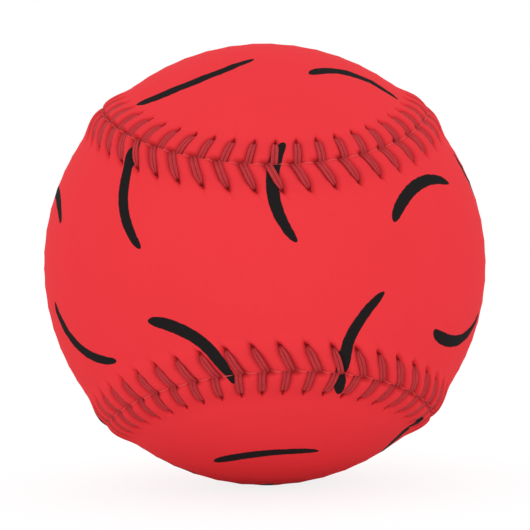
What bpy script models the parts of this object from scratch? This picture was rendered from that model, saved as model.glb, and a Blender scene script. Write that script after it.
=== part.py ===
"""A baseball: a cork and rubber centre, four windings and a cover of two stitched panels.

Lengths are metres and +Z is up. The origin is the centre of the ball. The front panel's narrow
waist faces -Y and lies level, and the back panel's narrow waist faces +Y and stands upright.
"""

import math

import bmesh
import bpy
import numpy as np
from mathutils import Matrix, Vector
from mathutils.geometry import delaunay_2d_cdt

# Centre: a cork ball in two black rubber cups with a gasket, in two red rubber cups.
CORE_DIAMETER = 0.02064
INNER_CUP_WALL = 0.00397
GASKET_HEIGHT = 0.0012
OUTER_CUP_WALL = 0.00238
OUTER_CUP_PARTING = 0.0004

# Windings, by the thickness that each adds, and the cover.
FIRST_WINDING = 0.014
SECOND_WINDING = 0.0016
THIRD_WINDING = 0.0021
FINISHING_WINDING = 0.00035
COVER_THICKNESS = 0.00095

# Room left between one layer and the next, and between the windings and the cover.
LAYER_CLEARANCE = 0.0002
COVER_CLEARANCE = 0.00018

# The hole at one pole where the yarn runs in, as an angle from the axis.
YARN_HOLE_ANGLE = math.radians(5.0)

# Seam: the narrow waist of a panel, how much straighter the seam runs along it than the plain
# curve, as a share of the radius, and the shoulder over which the cover falls from the holes.
WAIST_WIDTH = 0.0317
WAIST_STRAIGHTNESS = 0.0112
SEAM_SHOULDER = 0.0042

# Stitches: one hole in each panel for each stitch. The stagger is how far the back panel's holes
# lie past the front panel's. The lead is how far past its even step a back leg goes down the
# seam, and the strand spacing is the room between it and the front leg that goes down beside it.
STITCH_COUNT = 108
HOLE_INSET = 0.0036
HOLE_STAGGER = 0.00067
THREAD_WIDTH = 0.0013
THREAD_THICKNESS = 0.00045
THREAD_CLEARANCE = 0.00015
CHANNEL_CLEARANCE = 0.0003
BACK_LEAD = 0.00038
STRAND_SPACING = 0.00045

# Facets: segments round a turned layer, segments from pole to pole, the cover's cell size and
# the samples that measure the seam, of which some also tell which panel a point is in.
TURNED_SEGMENTS = 12
POLE_SEGMENTS = 6
COVER_CELL = 0.006
SEAM_SAMPLES = 7200
NEARNESS_STEP = 8
MERGE_DISTANCE = 1e-6
FILL_TOLERANCE = 1e-9

# Radii that follow from the thicknesses.
CORE_RADIUS = CORE_DIAMETER / 2
INNER_CUP_RADIUS = CORE_RADIUS + LAYER_CLEARANCE + INNER_CUP_WALL
OUTER_CUP_RADIUS = INNER_CUP_RADIUS + LAYER_CLEARANCE + OUTER_CUP_WALL
FIRST_RADIUS = OUTER_CUP_RADIUS + LAYER_CLEARANCE + FIRST_WINDING
SECOND_RADIUS = FIRST_RADIUS + LAYER_CLEARANCE + SECOND_WINDING
THIRD_RADIUS = SECOND_RADIUS + LAYER_CLEARANCE + THIRD_WINDING
FINISHING_RADIUS = THIRD_RADIUS + LAYER_CLEARANCE + FINISHING_WINDING
CELL_SAG = COVER_CELL ** 2 / (4 * FINISHING_RADIUS)
COVER_GAP = COVER_CLEARANCE + CELL_SAG
BALL_RADIUS = FINISHING_RADIUS + COVER_GAP + COVER_THICKNESS

# Sizes that follow from the thread: the seam's gap, the holes, the rise of the cover beside the
# seam that makes room for the thread under it, and where the front legs go down.
SEAM_GAP = THREAD_THICKNESS + 2 * THREAD_CLEARANCE
HOLE_LENGTH = THREAD_WIDTH + 2 * THREAD_CLEARANCE
HOLE_WIDTH = THREAD_THICKNESS + 2 * THREAD_CLEARANCE
SEAM_RISE = THREAD_THICKNESS + THREAD_CLEARANCE + CHANNEL_CLEARANCE - COVER_GAP
SEAM_REACH = HOLE_INSET + SEAM_SHOULDER
FRONT_LEAD = BACK_LEAD + THREAD_WIDTH + STRAND_SPACING


def clear_scene():
    for obj in list(bpy.data.objects):
        bpy.data.objects.remove(obj, do_unlink=True)


def make_material(name, colour, roughness):
    material = bpy.data.materials.new(name)
    material.use_nodes = True
    shader = material.node_tree.nodes["Principled BSDF"]
    shader.inputs["Base Color"].default_value = (*colour, 1.0)
    shader.inputs["Roughness"].default_value = roughness
    shader.inputs["Metallic"].default_value = 0.0
    return material


def add_object(name, mesh, material):
    mesh.materials.clear()
    mesh.materials.append(material)
    mesh.shade_smooth()
    obj = bpy.data.objects.new(name, mesh)
    bpy.context.scene.collection.objects.link(obj)
    return obj


def arc(radius, start, *ends):
    """Points of an arc about the origin, by angle from +Y, at the polar segments' angles.

    Where two ends are given, the arc has a point at the first and stops at the second.
    """
    step = math.pi / POLE_SEGMENTS
    between = [k * step for k in range(POLE_SEGMENTS + 1) if start < k * step < ends[0]]
    angles = [start, *between, *ends]
    return [Vector((radius * math.sin(a), radius * math.cos(a), 0.0)) for a in angles]


def turned_mesh(name, profile, closed):
    """A solid of revolution about Y from a profile in the XY plane."""
    bm = bmesh.new()
    verts = [bm.verts.new(point) for point in profile]
    edges = [bm.edges.new(pair) for pair in zip(verts, verts[1:])]
    if closed:
        edges.append(bm.edges.new((verts[-1], verts[0])))
    bmesh.ops.spin(bm, geom=verts + edges, cent=(0, 0, 0), axis=(0, 1, 0), dvec=(0, 0, 0),
                   angle=math.tau, steps=TURNED_SEGMENTS, use_merge=True, use_duplicate=False)
    bmesh.ops.remove_doubles(bm, verts=bm.verts, dist=MERGE_DISTANCE)
    bmesh.ops.recalc_face_normals(bm, faces=bm.faces)
    mesh = bpy.data.meshes.new(name)
    bm.to_mesh(mesh)
    bm.free()
    return mesh


def make_core():
    cork = make_material("cork", (0.42, 0.25, 0.12), 0.85)
    add_object("cork_core", turned_mesh("cork_core", arc(CORE_RADIUS, 0.0, math.pi), False), cork)


def rim_angle(radius, rim_height):
    """Angle from +Y at which a shell of this radius is cut flat at the rim's height."""
    return math.acos(rim_height / radius)


def make_cups(name, inner_arc, outer_arc, material):
    """Two half shells that face each other: the back one above the XZ plane, the front one below."""
    mesh = turned_mesh(name, outer_arc + inner_arc[::-1], False)
    add_object(f"{name}_back", mesh, material)
    front = add_object(f"{name}_front", mesh, material)
    front.rotation_euler = (0.0, 0.0, math.pi)


def make_centre():
    """Rubber cups and gasket. The outer cups have a step where the inner cups' rims end."""
    black = make_material("black rubber", (0.02, 0.02, 0.022), 0.6)
    red = make_material("red rubber", (0.33, 0.035, 0.03), 0.6)
    bore = CORE_RADIUS + LAYER_CLEARANCE
    half = GASKET_HEIGHT / 2
    inner_rim = half + LAYER_CLEARANCE
    inner_end = rim_angle(INNER_CUP_RADIUS, inner_rim)
    make_cups("inner_rubber_cup", arc(bore, 0.0, rim_angle(bore, inner_rim)),
              arc(INNER_CUP_RADIUS, 0.0, inner_end), black)
    section = [Vector((bore, half, 0)), Vector((INNER_CUP_RADIUS, half, 0)),
               Vector((INNER_CUP_RADIUS, -half, 0)), Vector((bore, -half, 0))]
    add_object("rubber_gasket", turned_mesh("rubber_gasket", section, True), red)
    seat = INNER_CUP_RADIUS + LAYER_CLEARANCE
    outer_rim = OUTER_CUP_PARTING / 2
    make_cups("outer_rubber_cup", arc(seat, 0.0, inner_end, rim_angle(seat, outer_rim)),
              arc(OUTER_CUP_RADIUS, 0.0, rim_angle(OUTER_CUP_RADIUS, outer_rim)), red)


def make_winding(name, thickness, outer_radius, material):
    """A shell of yarn, closed at one pole and with the yarn's hole at the other."""
    outer = arc(outer_radius, YARN_HOLE_ANGLE, math.pi)
    inner = arc(outer_radius - thickness, YARN_HOLE_ANGLE, math.pi)
    add_object(name, turned_mesh(name, outer[::-1] + inner, False), material)


def make_windings():
    grey = make_material("grey wool", (0.33, 0.32, 0.31), 0.95)
    white = make_material("white wool", (0.75, 0.73, 0.68), 0.95)
    cotton = make_material("white cotton", (0.83, 0.82, 0.78), 0.9)
    make_winding("first_wool_winding", FIRST_WINDING, FIRST_RADIUS, grey)
    make_winding("second_wool_winding", SECOND_WINDING, SECOND_RADIUS, white)
    make_winding("third_wool_winding", THIRD_WINDING, THIRD_RADIUS, grey)
    make_winding("finishing_winding", FINISHING_WINDING, FINISHING_RADIUS, cotton)


def seam_formula(u):
    """Point of the seam on the unit ball and a vector along the seam there.

    With w the half angle of the waist, a = (1 + sin w) / 2, b = 1 - a and t the straightness,
    the curve is ((a - t) cos u + b cos 3u - t cos 5u, (a - t) sin u - b sin 3u - t sin 5u,
    2 sqrt(ab) sin 2u), brought out to the unit ball. The waist keeps its width whatever t is.
    The curve is then turned by 45 degrees, so that the front waist lies level.
    """
    a = (1 + math.sin(WAIST_WIDTH / 2 / BALL_RADIUS)) / 2
    b, t = 1 - a, WAIST_STRAIGHTNESS
    c = 2 * math.sqrt(a * b)
    curve = np.stack([(a - t) * np.cos(u) + b * np.cos(3 * u) - t * np.cos(5 * u),
                      (a - t) * np.sin(u) - b * np.sin(3 * u) - t * np.sin(5 * u),
                      c * np.sin(2 * u)], axis=-1)
    slope = np.stack([(t - a) * np.sin(u) - 3 * b * np.sin(3 * u) + 5 * t * np.sin(5 * u),
                      (a - t) * np.cos(u) - 3 * b * np.cos(3 * u) - 5 * t * np.cos(5 * u),
                      2 * c * np.cos(2 * u)], axis=-1)
    out = curve / np.linalg.norm(curve, axis=-1, keepdims=True)
    along = slope - (slope * out).sum(axis=-1, keepdims=True) * out
    h = math.sqrt(0.5)
    turn = np.array([[h, -h, 0.0], [0.0, 0.0, -1.0], [h, h, 0.0]])
    return out @ turn.T, along @ turn.T


def seam_lengths(u):
    """Length of the seam on the ball from its start to each parameter."""
    steps = np.linalg.norm(np.diff(seam_formula(u)[0], axis=0), axis=1)
    return np.concatenate([[0.0], np.cumsum(steps)]) * BALL_RADIUS


SEAM_U = np.linspace(0.0, math.tau, SEAM_SAMPLES + 1)
SEAM_ARC = seam_lengths(SEAM_U)
SEAM_LENGTH = SEAM_ARC[-1]
STITCH_PITCH = SEAM_LENGTH / STITCH_COUNT


def seam_frame(s):
    """Unit vectors at arc length s: out of the ball, along the seam and towards the front panel."""
    u = np.interp(np.mod(s, SEAM_LENGTH), SEAM_ARC, SEAM_U)
    out, along = seam_formula(u)
    along = along / np.linalg.norm(along, axis=-1, keepdims=True)
    return out, along, np.cross(out, along)


def beside_seam(s, offset):
    """Unit vector at arc length s and this far from the seam line, positive in the front panel."""
    out, _, side = seam_frame(s)
    angle = offset / BALL_RADIUS
    return out * math.cos(angle) + side * math.sin(angle)


def stitch_places():
    """Even steps along the seam, one for each stitch."""
    return (np.arange(STITCH_COUNT) + 0.5) * STITCH_PITCH


def hole_places(panel_side):
    """Arc lengths of the holes of the front panel (side 1) or of the back panel (side -1)."""
    return stitch_places() - panel_side * HOLE_STAGGER / 2


def cover_lattice():
    """Even points of a rounded cube that lie in the front panel, clear of the seam's reach."""
    half = math.ceil(BALL_RADIUS * math.pi / 4 / COVER_CELL)
    side = np.tan(np.linspace(-math.pi / 4, math.pi / 4, 2 * half + 1))
    first, second = [grid.ravel() for grid in np.meshgrid(side, side)]
    face = np.stack([np.ones_like(first), first, second], axis=1)
    cube = np.concatenate([sign * np.roll(face, turn, axis=1) for turn in range(3) for sign in (1, -1)])
    points = np.unique(np.round(cube / np.linalg.norm(cube, axis=1, keepdims=True), 9), axis=0)
    out, _, side_vector = seam_frame(SEAM_ARC[:-1:NEARNESS_STEP])
    nearness = points @ out.T
    nearest = nearness.argmax(axis=1)
    distance = np.arccos(np.clip(nearness.max(axis=1), -1, 1)) * BALL_RADIUS
    in_front = (points * side_vector[nearest]).sum(axis=1) > 0
    return points[in_front & (distance > SEAM_REACH + COVER_CELL / 2)]


def panel_mesh():
    """Outer face of the front panel with its thread holes.

    The outline, the holes, a ring at the seam's reach and the lattice are flattened from the
    back of the ball, which keeps circles round, filled with triangles and put back on the ball.
    """
    places = hole_places(1)
    edge = beside_seam(places + STITCH_PITCH / 2, SEAM_GAP / 2)
    corners = [(-1, -1), (1, -1), (1, 1), (-1, 1)]
    holes = np.stack([beside_seam(places + x * HOLE_LENGTH / 2, HOLE_INSET + y * HOLE_WIDTH / 2)
                      for x, y in corners], axis=1).reshape(-1, 3)
    ring = beside_seam(places[::2] + STITCH_PITCH / 2, SEAM_REACH)
    raised = len(edge) + len(holes)
    points = np.concatenate([edge, holes, ring, cover_lattice()])
    flat = [Vector((x / (1 - y), z / (1 - y))) for x, y, z in points]
    outline = list(range(len(edge)))
    first_corner = [len(edge) + 4 * k for k in range(STITCH_COUNT)]
    cuts = [(k + i, k + (i + 1) % 4) for k in first_corner for i in range(4)]
    inside_outline = 1
    triangles = delaunay_2d_cdt(flat, cuts, [outline], inside_outline, FILL_TOLERANCE)[2]
    hole_of = np.full(len(points), -1)
    hole_of[len(edge):raised] = np.arange(4 * STITCH_COUNT) // 4
    kept = [t for t in triangles if hole_of[t[0]] < 0 or len(set(hole_of[t])) > 1]
    radius = np.full(len(points), BALL_RADIUS)
    radius[:raised] += SEAM_RISE
    mesh = bpy.data.meshes.new("cover_panel")
    mesh.from_pydata((points * radius[:, None]).tolist(), [], kept)
    return mesh


def make_cover():
    """Two panels of one cut: the back one is the front one turned half round the (1, 0, 1) axis."""
    leather = make_material("red leather", (0.863, 0.055, 0.065), 0.5)
    mesh = panel_mesh()
    for name, turn in (("cover_panel_front", 0.0), ("cover_panel_back", math.pi)):
        panel = add_object(name, mesh, leather)
        panel.matrix_world = Matrix.Rotation(turn, 4, Vector((1.0, 0.0, 1.0)))
        wall = panel.modifiers.new("Thickness", "SOLIDIFY")
        wall.thickness = COVER_THICKNESS
        wall.offset = -1.0
        wall.use_even_offset = True


def thread_sections():
    """Four-cornered sections of the thread at its bends, in the order in which it is sewn.

    Each stitch comes up through a hole in the front panel, crosses to the seam and goes down
    the gap, passes under the back panel, comes up through its next hole, crosses to the seam,
    goes down and passes under the front panel to the next hole there. The thread stays flat
    along the seam, and every bend is a square mitre about the seam's direction.
    """
    over = BALL_RADIUS + SEAM_RISE + THREAD_CLEARANCE + THREAD_THICKNESS / 2
    under = BALL_RADIUS + SEAM_RISE - COVER_THICKNESS - THREAD_CLEARANCE - THREAD_THICKNESS / 2
    front_hole = hole_places(1)
    front_gap = stitch_places() + FRONT_LEAD
    back_hole = np.roll(hole_places(-1), -1)
    back_gap = np.roll(stitch_places(), -1) + BACK_LEAD
    # Place along the seam, offset from it, height, and the mitre's lean outwards and to the front.
    bends = [(front_hole, HOLE_INSET, under, 1, -1),
             (front_hole, HOLE_INSET, over, -1, -1),
             (front_gap, 0.0, over, -1, 1),
             (front_gap, 0.0, under, -1, 1),
             (back_hole, -HOLE_INSET, under, -1, -1),
             (back_hole, -HOLE_INSET, over, 1, -1),
             (back_gap, 0.0, over, 1, 1),
             (back_gap, 0.0, under, 1, 1)]
    sections = []
    for place, offset, radius, lean_out, lean_front in bends:
        out, along, side = seam_frame(place)
        angle = offset / BALL_RADIUS
        outward = out * math.cos(angle) + side * math.sin(angle)
        front = side * math.cos(angle) - out * math.sin(angle)
        mitre = (outward * lean_out + front * lean_front) * THREAD_THICKNESS / 2
        flat = along * THREAD_WIDTH / 2
        centre = outward * radius
        sections.append(np.stack([centre + flat + mitre, centre + flat - mitre,
                                  centre - flat - mitre, centre - flat + mitre], axis=1))
    return np.stack(sections, axis=1).reshape(-1, 4, 3)


def make_thread():
    """One unbroken thread, whose two ends lie under the cover."""
    cotton = make_material("waxed red cotton", (0.43, 0.048, 0.055), 0.5)
    sections = thread_sections()
    bm = bmesh.new()
    rings = [[bm.verts.new(corner) for corner in section] for section in sections]
    for ring, following in zip(rings, rings[1:]):
        for k in range(4):
            turn = (k + 1) % 4
            bm.faces.new((ring[k], ring[turn], following[turn], following[k]))
    bm.faces.new(rings[0])
    bm.faces.new(rings[-1])
    bmesh.ops.recalc_face_normals(bm, faces=bm.faces)
    mesh = bpy.data.meshes.new("seam_thread")
    bm.to_mesh(mesh)
    bm.free()
    add_object("seam_thread", mesh, cotton)


def main():
    clear_scene()
    make_core()
    make_centre()
    make_windings()
    make_cover()
    make_thread()


main()
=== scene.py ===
"""A stitched baseball: printed cover panels, seam thread, windings and centre, on a white studio floor.

Lengths are metres and +Z is up. The origin is the centre of the ball. The front panel's narrow waist
faces -Y and lies level, and the back panel's narrow waist faces +Y and stands upright.
"""

import functools
import math

import bpy
import numpy as np
from bpy.props import FloatProperty, FloatVectorProperty, IntProperty, PointerProperty
from mathutils import Matrix, Vector


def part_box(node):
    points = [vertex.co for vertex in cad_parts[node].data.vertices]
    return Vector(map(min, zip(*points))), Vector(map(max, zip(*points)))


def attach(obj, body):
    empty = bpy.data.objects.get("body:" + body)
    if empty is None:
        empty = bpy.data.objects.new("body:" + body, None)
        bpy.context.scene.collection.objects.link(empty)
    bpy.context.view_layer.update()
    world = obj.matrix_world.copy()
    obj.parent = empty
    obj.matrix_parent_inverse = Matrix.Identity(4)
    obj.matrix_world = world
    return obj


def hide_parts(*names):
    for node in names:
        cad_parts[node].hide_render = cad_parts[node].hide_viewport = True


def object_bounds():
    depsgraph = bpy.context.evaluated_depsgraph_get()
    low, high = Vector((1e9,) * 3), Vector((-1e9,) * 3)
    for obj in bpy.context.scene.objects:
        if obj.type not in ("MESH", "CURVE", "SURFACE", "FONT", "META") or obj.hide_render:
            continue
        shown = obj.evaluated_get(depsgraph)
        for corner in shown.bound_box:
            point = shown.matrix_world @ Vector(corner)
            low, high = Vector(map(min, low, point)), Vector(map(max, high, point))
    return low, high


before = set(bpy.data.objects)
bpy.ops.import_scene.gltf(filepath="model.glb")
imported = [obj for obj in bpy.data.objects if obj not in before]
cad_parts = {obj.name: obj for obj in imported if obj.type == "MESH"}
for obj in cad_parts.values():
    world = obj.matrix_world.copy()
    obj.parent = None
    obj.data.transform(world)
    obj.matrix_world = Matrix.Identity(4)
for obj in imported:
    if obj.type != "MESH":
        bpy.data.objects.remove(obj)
CAD_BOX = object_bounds()

bl_info = {
    "name": "Stitched Baseball",
    "version": (1, 0, 0),
    "blender": (4, 5, 0),
    "location": "View3D > Sidebar > Baseball",
    "description": "Builds the cover, seam thread, windings and centre of a baseball in a studio",
    "category": "Add Mesh",
}

BODY = "root"
PHOTO_WIDTH = 530


def length(name, description, default):
    """A length that a user may set."""
    return FloatProperty(name=name, description=description, default=default, unit="LENGTH",
                         precision=5)


def angle(name, description, degrees):
    """An angle that a user may set."""
    return FloatProperty(name=name, description=description, default=math.radians(degrees),
                         subtype="ANGLE", unit="ROTATION")


def share(name, description, default):
    """A plain number that a user may set."""
    return FloatProperty(name=name, description=description, default=default, min=0.0)


def colour(name, description, default):
    """A linear colour that a user may set."""
    return FloatVectorProperty(name=name, description=description, default=default,
                               subtype="COLOR", size=3, min=0.0, max=1.0)


class BaseballSizes(bpy.types.PropertyGroup):
    """Lengths of the cover and of the thread that laces it."""

    ball_radius: length("Ball radius", "Radius of the cover away from the seam",
                        (CAD_BOX[1].z - CAD_BOX[0].z) / 2)
    waist_width: length("Waist width", "Narrowest width of a cover panel", 0.0317)
    waist_straightness: share("Waist straightness", "How straight the seam runs along a waist", 0.0112)
    cover_thickness: length("Cover thickness", "Thickness of the leather", 0.00095)
    ridge_height: length("Ridge height", "Rise of the cover beside the seam", 0.00102)
    ridge_crest: length("Ridge crest", "Distance of the highest line from the seam", 0.0013)
    ridge_reach: length("Ridge reach", "Distance from the seam at which the rise ends", 0.0063)
    edge_drop: length("Edge drop", "Fall of the cover from the crest to the seam", 0.00022)
    edge_roll: length("Edge roll", "Width of the rounded edge at the seam", 0.00007)
    seam_gap: length("Seam gap", "Room between the edges of the two panels", 0.00002)
    stitch_count: IntProperty(name="Stitches", description="Stitches round the seam", default=108, min=8)
    hole_inset: length("Hole inset", "Distance of the thread holes from the seam", 0.0038)
    hole_stagger: length("Hole stagger", "How far back panel holes lie past the front ones", 0.00067)
    front_lead: length("Front lead", "How far past its step a front leg goes down the seam", 0.0017)
    back_lead: length("Back lead", "How far past its step a back leg goes down the seam", 0.00085)
    front_sway: length("Front sway", "How much the front lead changes along a waist", 0.00124)
    back_sway: length("Back sway", "How much the back lead changes along a waist", 0.00037)
    strand_width: length("Strand width", "Width of one of the two strands of the thread", 0.00062)
    strand_thickness: length("Strand thickness", "Thickness of a strand", 0.00046)
    valley_depth: length("Valley depth", "How deep a leg of the thread pulls the leather in", 0.00068)
    layer_room: length("Layer room", "Room between one inner layer and the next", 0.0002)
    thick_yarn: length("Thick yarn", "Width of the first winding's yarn", 0.0021)
    thin_yarn: length("Thin yarn", "Width of the second and third windings' yarn", 0.0017)
    finishing_yarn: length("Finishing yarn", "Width of the finishing winding's yarn", 0.001)
    dash_length: length("Dash length", "Length of a printed brush dash", 0.019)
    dash_width: length("Dash width", "Width of a printed brush dash", 0.0021)


class BaseballColours(bpy.types.PropertyGroup):
    """Linear colours of the finishes."""

    # The red is a little paler than the leather's own, which stands in for its faint sheen: partly painted
    # sheen.
    leather: colour("Leather", "Colour of the cover", (0.81, 0.040, 0.050))
    ink: colour("Ink", "Colour of the printed dashes", (0.0135, 0.0122, 0.0122))
    cut_edge: colour("Cut edge", "Colour of the leather's cut edge", (0.86, 0.14, 0.135))
    # Painted shade: the dark painted on the leather beside the legs, by the seam and in holes, notches and
    # creases, and on the thread at its ends.
    painted_shade: colour("Crease", "Colour of the leather in the creases and holes", (0.22, 0.0045, 0.006))
    thread: colour("Thread", "Colour of the seam thread", (0.465, 0.034, 0.041))
    # Painted shade at the edges of each strand, where the two strands meet.
    thread_edge_shade: colour("Thread gap", "Colour between the fibres of the thread", (0.375, 0.022, 0.027))
    cork: colour("Cork", "Colour of the cork composition", (0.42, 0.25, 0.12))
    black_rubber: colour("Black rubber", "Colour of the inner rubber cups", (0.02, 0.02, 0.022))
    red_rubber: colour("Red rubber", "Colour of the outer cups and gasket", (0.33, 0.035, 0.03))
    grey_wool: colour("Grey wool", "Colour of the grey yarns", (0.33, 0.32, 0.31))
    white_wool: colour("White wool", "Colour of the white yarn", (0.75, 0.73, 0.68))
    white_cotton: colour("White cotton", "Colour of the finishing yarn", (0.83, 0.82, 0.78))


class BaseballStudio(bpy.types.PropertyGroup):
    """Camera and light."""

    camera_distance: length("Camera distance", "From the camera to the centre of the ball", 0.317)
    camera_turn: angle("Camera turn", "Turn of the camera round the ball", -3.94)
    camera_rise: angle("Camera rise", "Rise of the camera above the horizon", 0.94)
    camera_roll: angle("Camera roll", "Roll of the camera", 1.06)
    ball_in_view: share("Ball in view", "Radius of the ball in the picture, in pixels", 221.0)
    shift_right: share("Shift right", "Pixels that the ball lies left of the middle", 0.2)
    shift_down: share("Shift down", "Pixels that the ball lies above the middle", 0.6)
    sky_light: share("Sky light", "Strength of the even light from all round", 1.0)
    key_power: share("Key power", "Power of the large soft front light, in watts", 2.2)


def unit(vectors):
    """Vectors brought to length 1."""
    return vectors / np.linalg.norm(vectors, axis=-1, keepdims=True)


def dot(first, second):
    """Products of vectors, which keep the last axis."""
    return (first * second).sum(axis=-1, keepdims=True)


def arc_lengths(points):
    """Distance along a chain of points from the first one to each."""
    steps = np.linalg.norm(np.diff(points, axis=0), axis=1)
    return np.concatenate([[0.0], np.cumsum(steps)])


def smooth_step(x, start, end):
    """0 before start, 1 after end, and 3t^2 - 2t^3 between."""
    t = np.clip((x - start) / (end - start), 0.0, 1.0)
    return t * t * (3 - 2 * t)


# The samples that measure the seam, and the rounds that find the leg through a point.
SEAM_SAMPLES = 7200
LEG_ROUNDS = 5


class Seam:
    """The seam line on the ball, measured by arc length.

    With w the half angle of the waist, a = (1 + sin w) / 2, b = 1 - a and t the straightness, the
    curve is ((a - t) cos u + b cos 3u - t cos 5u, (a - t) sin u - b sin 3u - t sin 5u,
    2 sqrt(ab) sin 2u), brought out to the unit ball. The waist keeps its width whatever t is.
    The curve is then turned by 45 degrees, so that the front waist lies level.
    """

    def __init__(self, sizes):
        self.radius = sizes.ball_radius
        self.a = (1 + math.sin(sizes.waist_width / 2 / self.radius)) / 2
        self.t = sizes.waist_straightness
        self.u = np.linspace(0.0, math.tau, SEAM_SAMPLES + 1)
        self.arc = arc_lengths(self.curve(self.u)[0]) * self.radius
        self.length = self.arc[-1]

    def curve(self, u):
        """Point on the unit ball and a vector along the seam at each parameter."""
        a, b, t, h = self.a, 1 - self.a, self.t, math.sqrt(0.5)
        c = 2 * math.sqrt(a * b)
        point = np.stack([(a - t) * np.cos(u) + b * np.cos(3 * u) - t * np.cos(5 * u),
                          (a - t) * np.sin(u) - b * np.sin(3 * u) - t * np.sin(5 * u),
                          c * np.sin(2 * u)], axis=-1)
        slope = np.stack([(t - a) * np.sin(u) - 3 * b * np.sin(3 * u) + 5 * t * np.sin(5 * u),
                          (a - t) * np.cos(u) - 3 * b * np.cos(3 * u) - 5 * t * np.cos(5 * u),
                          2 * c * np.cos(2 * u)], axis=-1)
        out = unit(point)
        along = slope - dot(slope, out) * out
        turn = np.array([[h, -h, 0.0], [0.0, 0.0, -1.0], [h, h, 0.0]])
        return out @ turn.T, along @ turn.T

    def frame(self, s):
        """Unit vectors at arc length s: out of the ball, along the seam and to the front panel."""
        u = np.interp(np.mod(s, self.length), self.arc, self.u)
        out, along = self.curve(u)
        along = unit(along)
        return out, along, np.cross(out, along)

    def beside(self, s, offset):
        """Unit vector at arc length s and this far beside the seam, positive in the front panel."""
        out, _, side = self.frame(s)
        turn = (offset / self.radius)[..., None]
        return out * np.cos(turn) + side * np.sin(turn)


# The two sides of the seam, and what differs between them.
FRONT, BACK = 1, -1
PAST_SEAM = {FRONT: 0.00028, BACK: 0.0001}  # how far a leg runs past the seam
LEG_END = {FRONT: 0.55, BACK: 0.8}  # share of a leg's width that is left at its hole
# A drop is the painted shade in a hole.
DROP_SIZE = {FRONT: 0.85, BACK: 1.15}  # size of the dark drop at a hole


class Lacing:
    """Where the stitches run along the seam, on its front side and on its back side."""

    def __init__(self, seam, sizes):
        self.seam = seam
        self.sizes = sizes
        self.inset = sizes.hole_inset
        self.count = sizes.stitch_count
        self.pitch = seam.length / self.count

    def place(self, number):
        """Even steps along the seam, one for each stitch."""
        return (number + 0.5) * self.pitch

    def wave(self, place):
        """An angle that runs through two whole turns round the seam, so through one for each waist."""
        return 2 * math.tau * place / self.seam.length

    def hole(self, place, side):
        """Where the hole of a stitch lies along the seam."""
        return place - side * self.sizes.hole_stagger / 2

    def dive(self, place, side):
        """Where the leg goes down the seam. Its lead falls and rises again along a waist."""
        sizes = self.sizes
        lead, sway = ((sizes.front_lead, sizes.front_sway) if side == FRONT
                      else (sizes.back_lead, sizes.back_sway))
        return place + lead - sway * np.cos(self.wave(place))

    def leg(self, place, offset, side):
        """Where the leg of a stitch crosses the line this far from the seam."""
        way = offset / self.inset
        return self.dive(place, side) * (1 - way) + self.hole(place, side) * way

    def beside_leg(self, s, offset, side):
        """Number of the leg through each point, the step between legs and the way past the nearest leg.

        The place of the leg through a point is the one whose leg crosses there, found by taking
        off the leg's own run again and again. A number is whole on the centre line of a leg. The
        step and the way are measured square to the legs.
        """
        place = s
        for _ in range(LEG_ROUNDS):
            place = s - (self.leg(place, offset, side) - place)
        number = place / self.pitch - 0.5
        run = (self.dive(place, side) - self.hole(place, side)) / self.inset
        step = self.pitch / np.sqrt(1 + run ** 2)
        return number, step, (number - np.round(number)) * step


# The relief of the cover at the stitches.
TROUGH_WIDTH = 0.00074  # half the width of the trough under a leg
TROUGH_TAPER = 0.78  # how closely the trough narrows with its leg
TAPER_LENGTH = 0.0012  # distance from its hole at which a leg starts to narrow
HOLE_DEPTH = 0.0004  # the dimple at a hole
HOLE_WIDTH = 0.00036
HOLE_LENGTH = 0.00055
TAIL_DEPTH = 0.0001  # the crease beyond a hole
TAIL_WIDTH = 0.00028
TAIL_END = 0.0022
NOTCH_END = 0.0009  # how far from the seam a notch ends


def ridge(offset, sizes):
    """Rise of the cover beside the seam: a cosine squared fall outside the crest, a parabola inside."""
    fall = np.clip((offset - sizes.ridge_crest) / (sizes.ridge_reach - sizes.ridge_crest), 0.0, 1.0)
    dip = np.clip(1 - offset / sizes.ridge_crest, 0.0, 1.0)
    return sizes.ridge_height * np.cos(fall * math.pi / 2) ** 2 - sizes.edge_drop * dip ** 2


def cover_relief(lacing, s, offset, side, sizes):
    """Height of the cover above the ball, the leg's number, the step, the way past the hole and the notch.

    The ridge is pressed in under each leg by a rounded trough, exp(-|x/b|^3) across the leg, which
    narrows to the hole. There a dimple sinks in, a Gaussian both ways, and from it a fine crease
    fades outwards. The back panel's edge has a notch of the same form for the end of each front leg.
    """
    number, step, x = lacing.beside_leg(s, offset, side)
    past = offset - lacing.inset
    taper = TROUGH_TAPER * (1 - LEG_END[side])
    width = TROUGH_WIDTH * (1 - taper * smooth_step(past, -TAPER_LENGTH, 0.0))
    trough = np.exp(-np.abs(x / width) ** 3) * (1 - smooth_step(past, 0.0, 2 * HOLE_LENGTH))
    notch = 0.0
    if side == BACK:
        front_x = lacing.beside_leg(s, -offset, FRONT)[2]
        notch = np.exp(-np.abs(front_x / TROUGH_WIDTH) ** 3)
        notch = notch * (1 - smooth_step(offset, PAST_SEAM[FRONT], NOTCH_END))
    trough = np.maximum(trough, notch)
    hole = np.exp(-(x / HOLE_WIDTH) ** 2 - ((past - HOLE_LENGTH / 2) / HOLE_LENGTH) ** 2)
    tail = np.exp(-(x / TAIL_WIDTH) ** 2) * smooth_step(past, 0.0, HOLE_LENGTH)
    tail = tail * (1 - smooth_step(past, HOLE_LENGTH, TAIL_END))
    height = ridge(offset, sizes) - sizes.valley_depth * trough - HOLE_DEPTH * hole - TAIL_DEPTH * tail
    return height, number, step, past, notch


def closed(index, axis):
    """A grid of vertex numbers whose first line along an axis follows its last one again."""
    return np.concatenate([index, index.take([0], axis)], axis)


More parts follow.
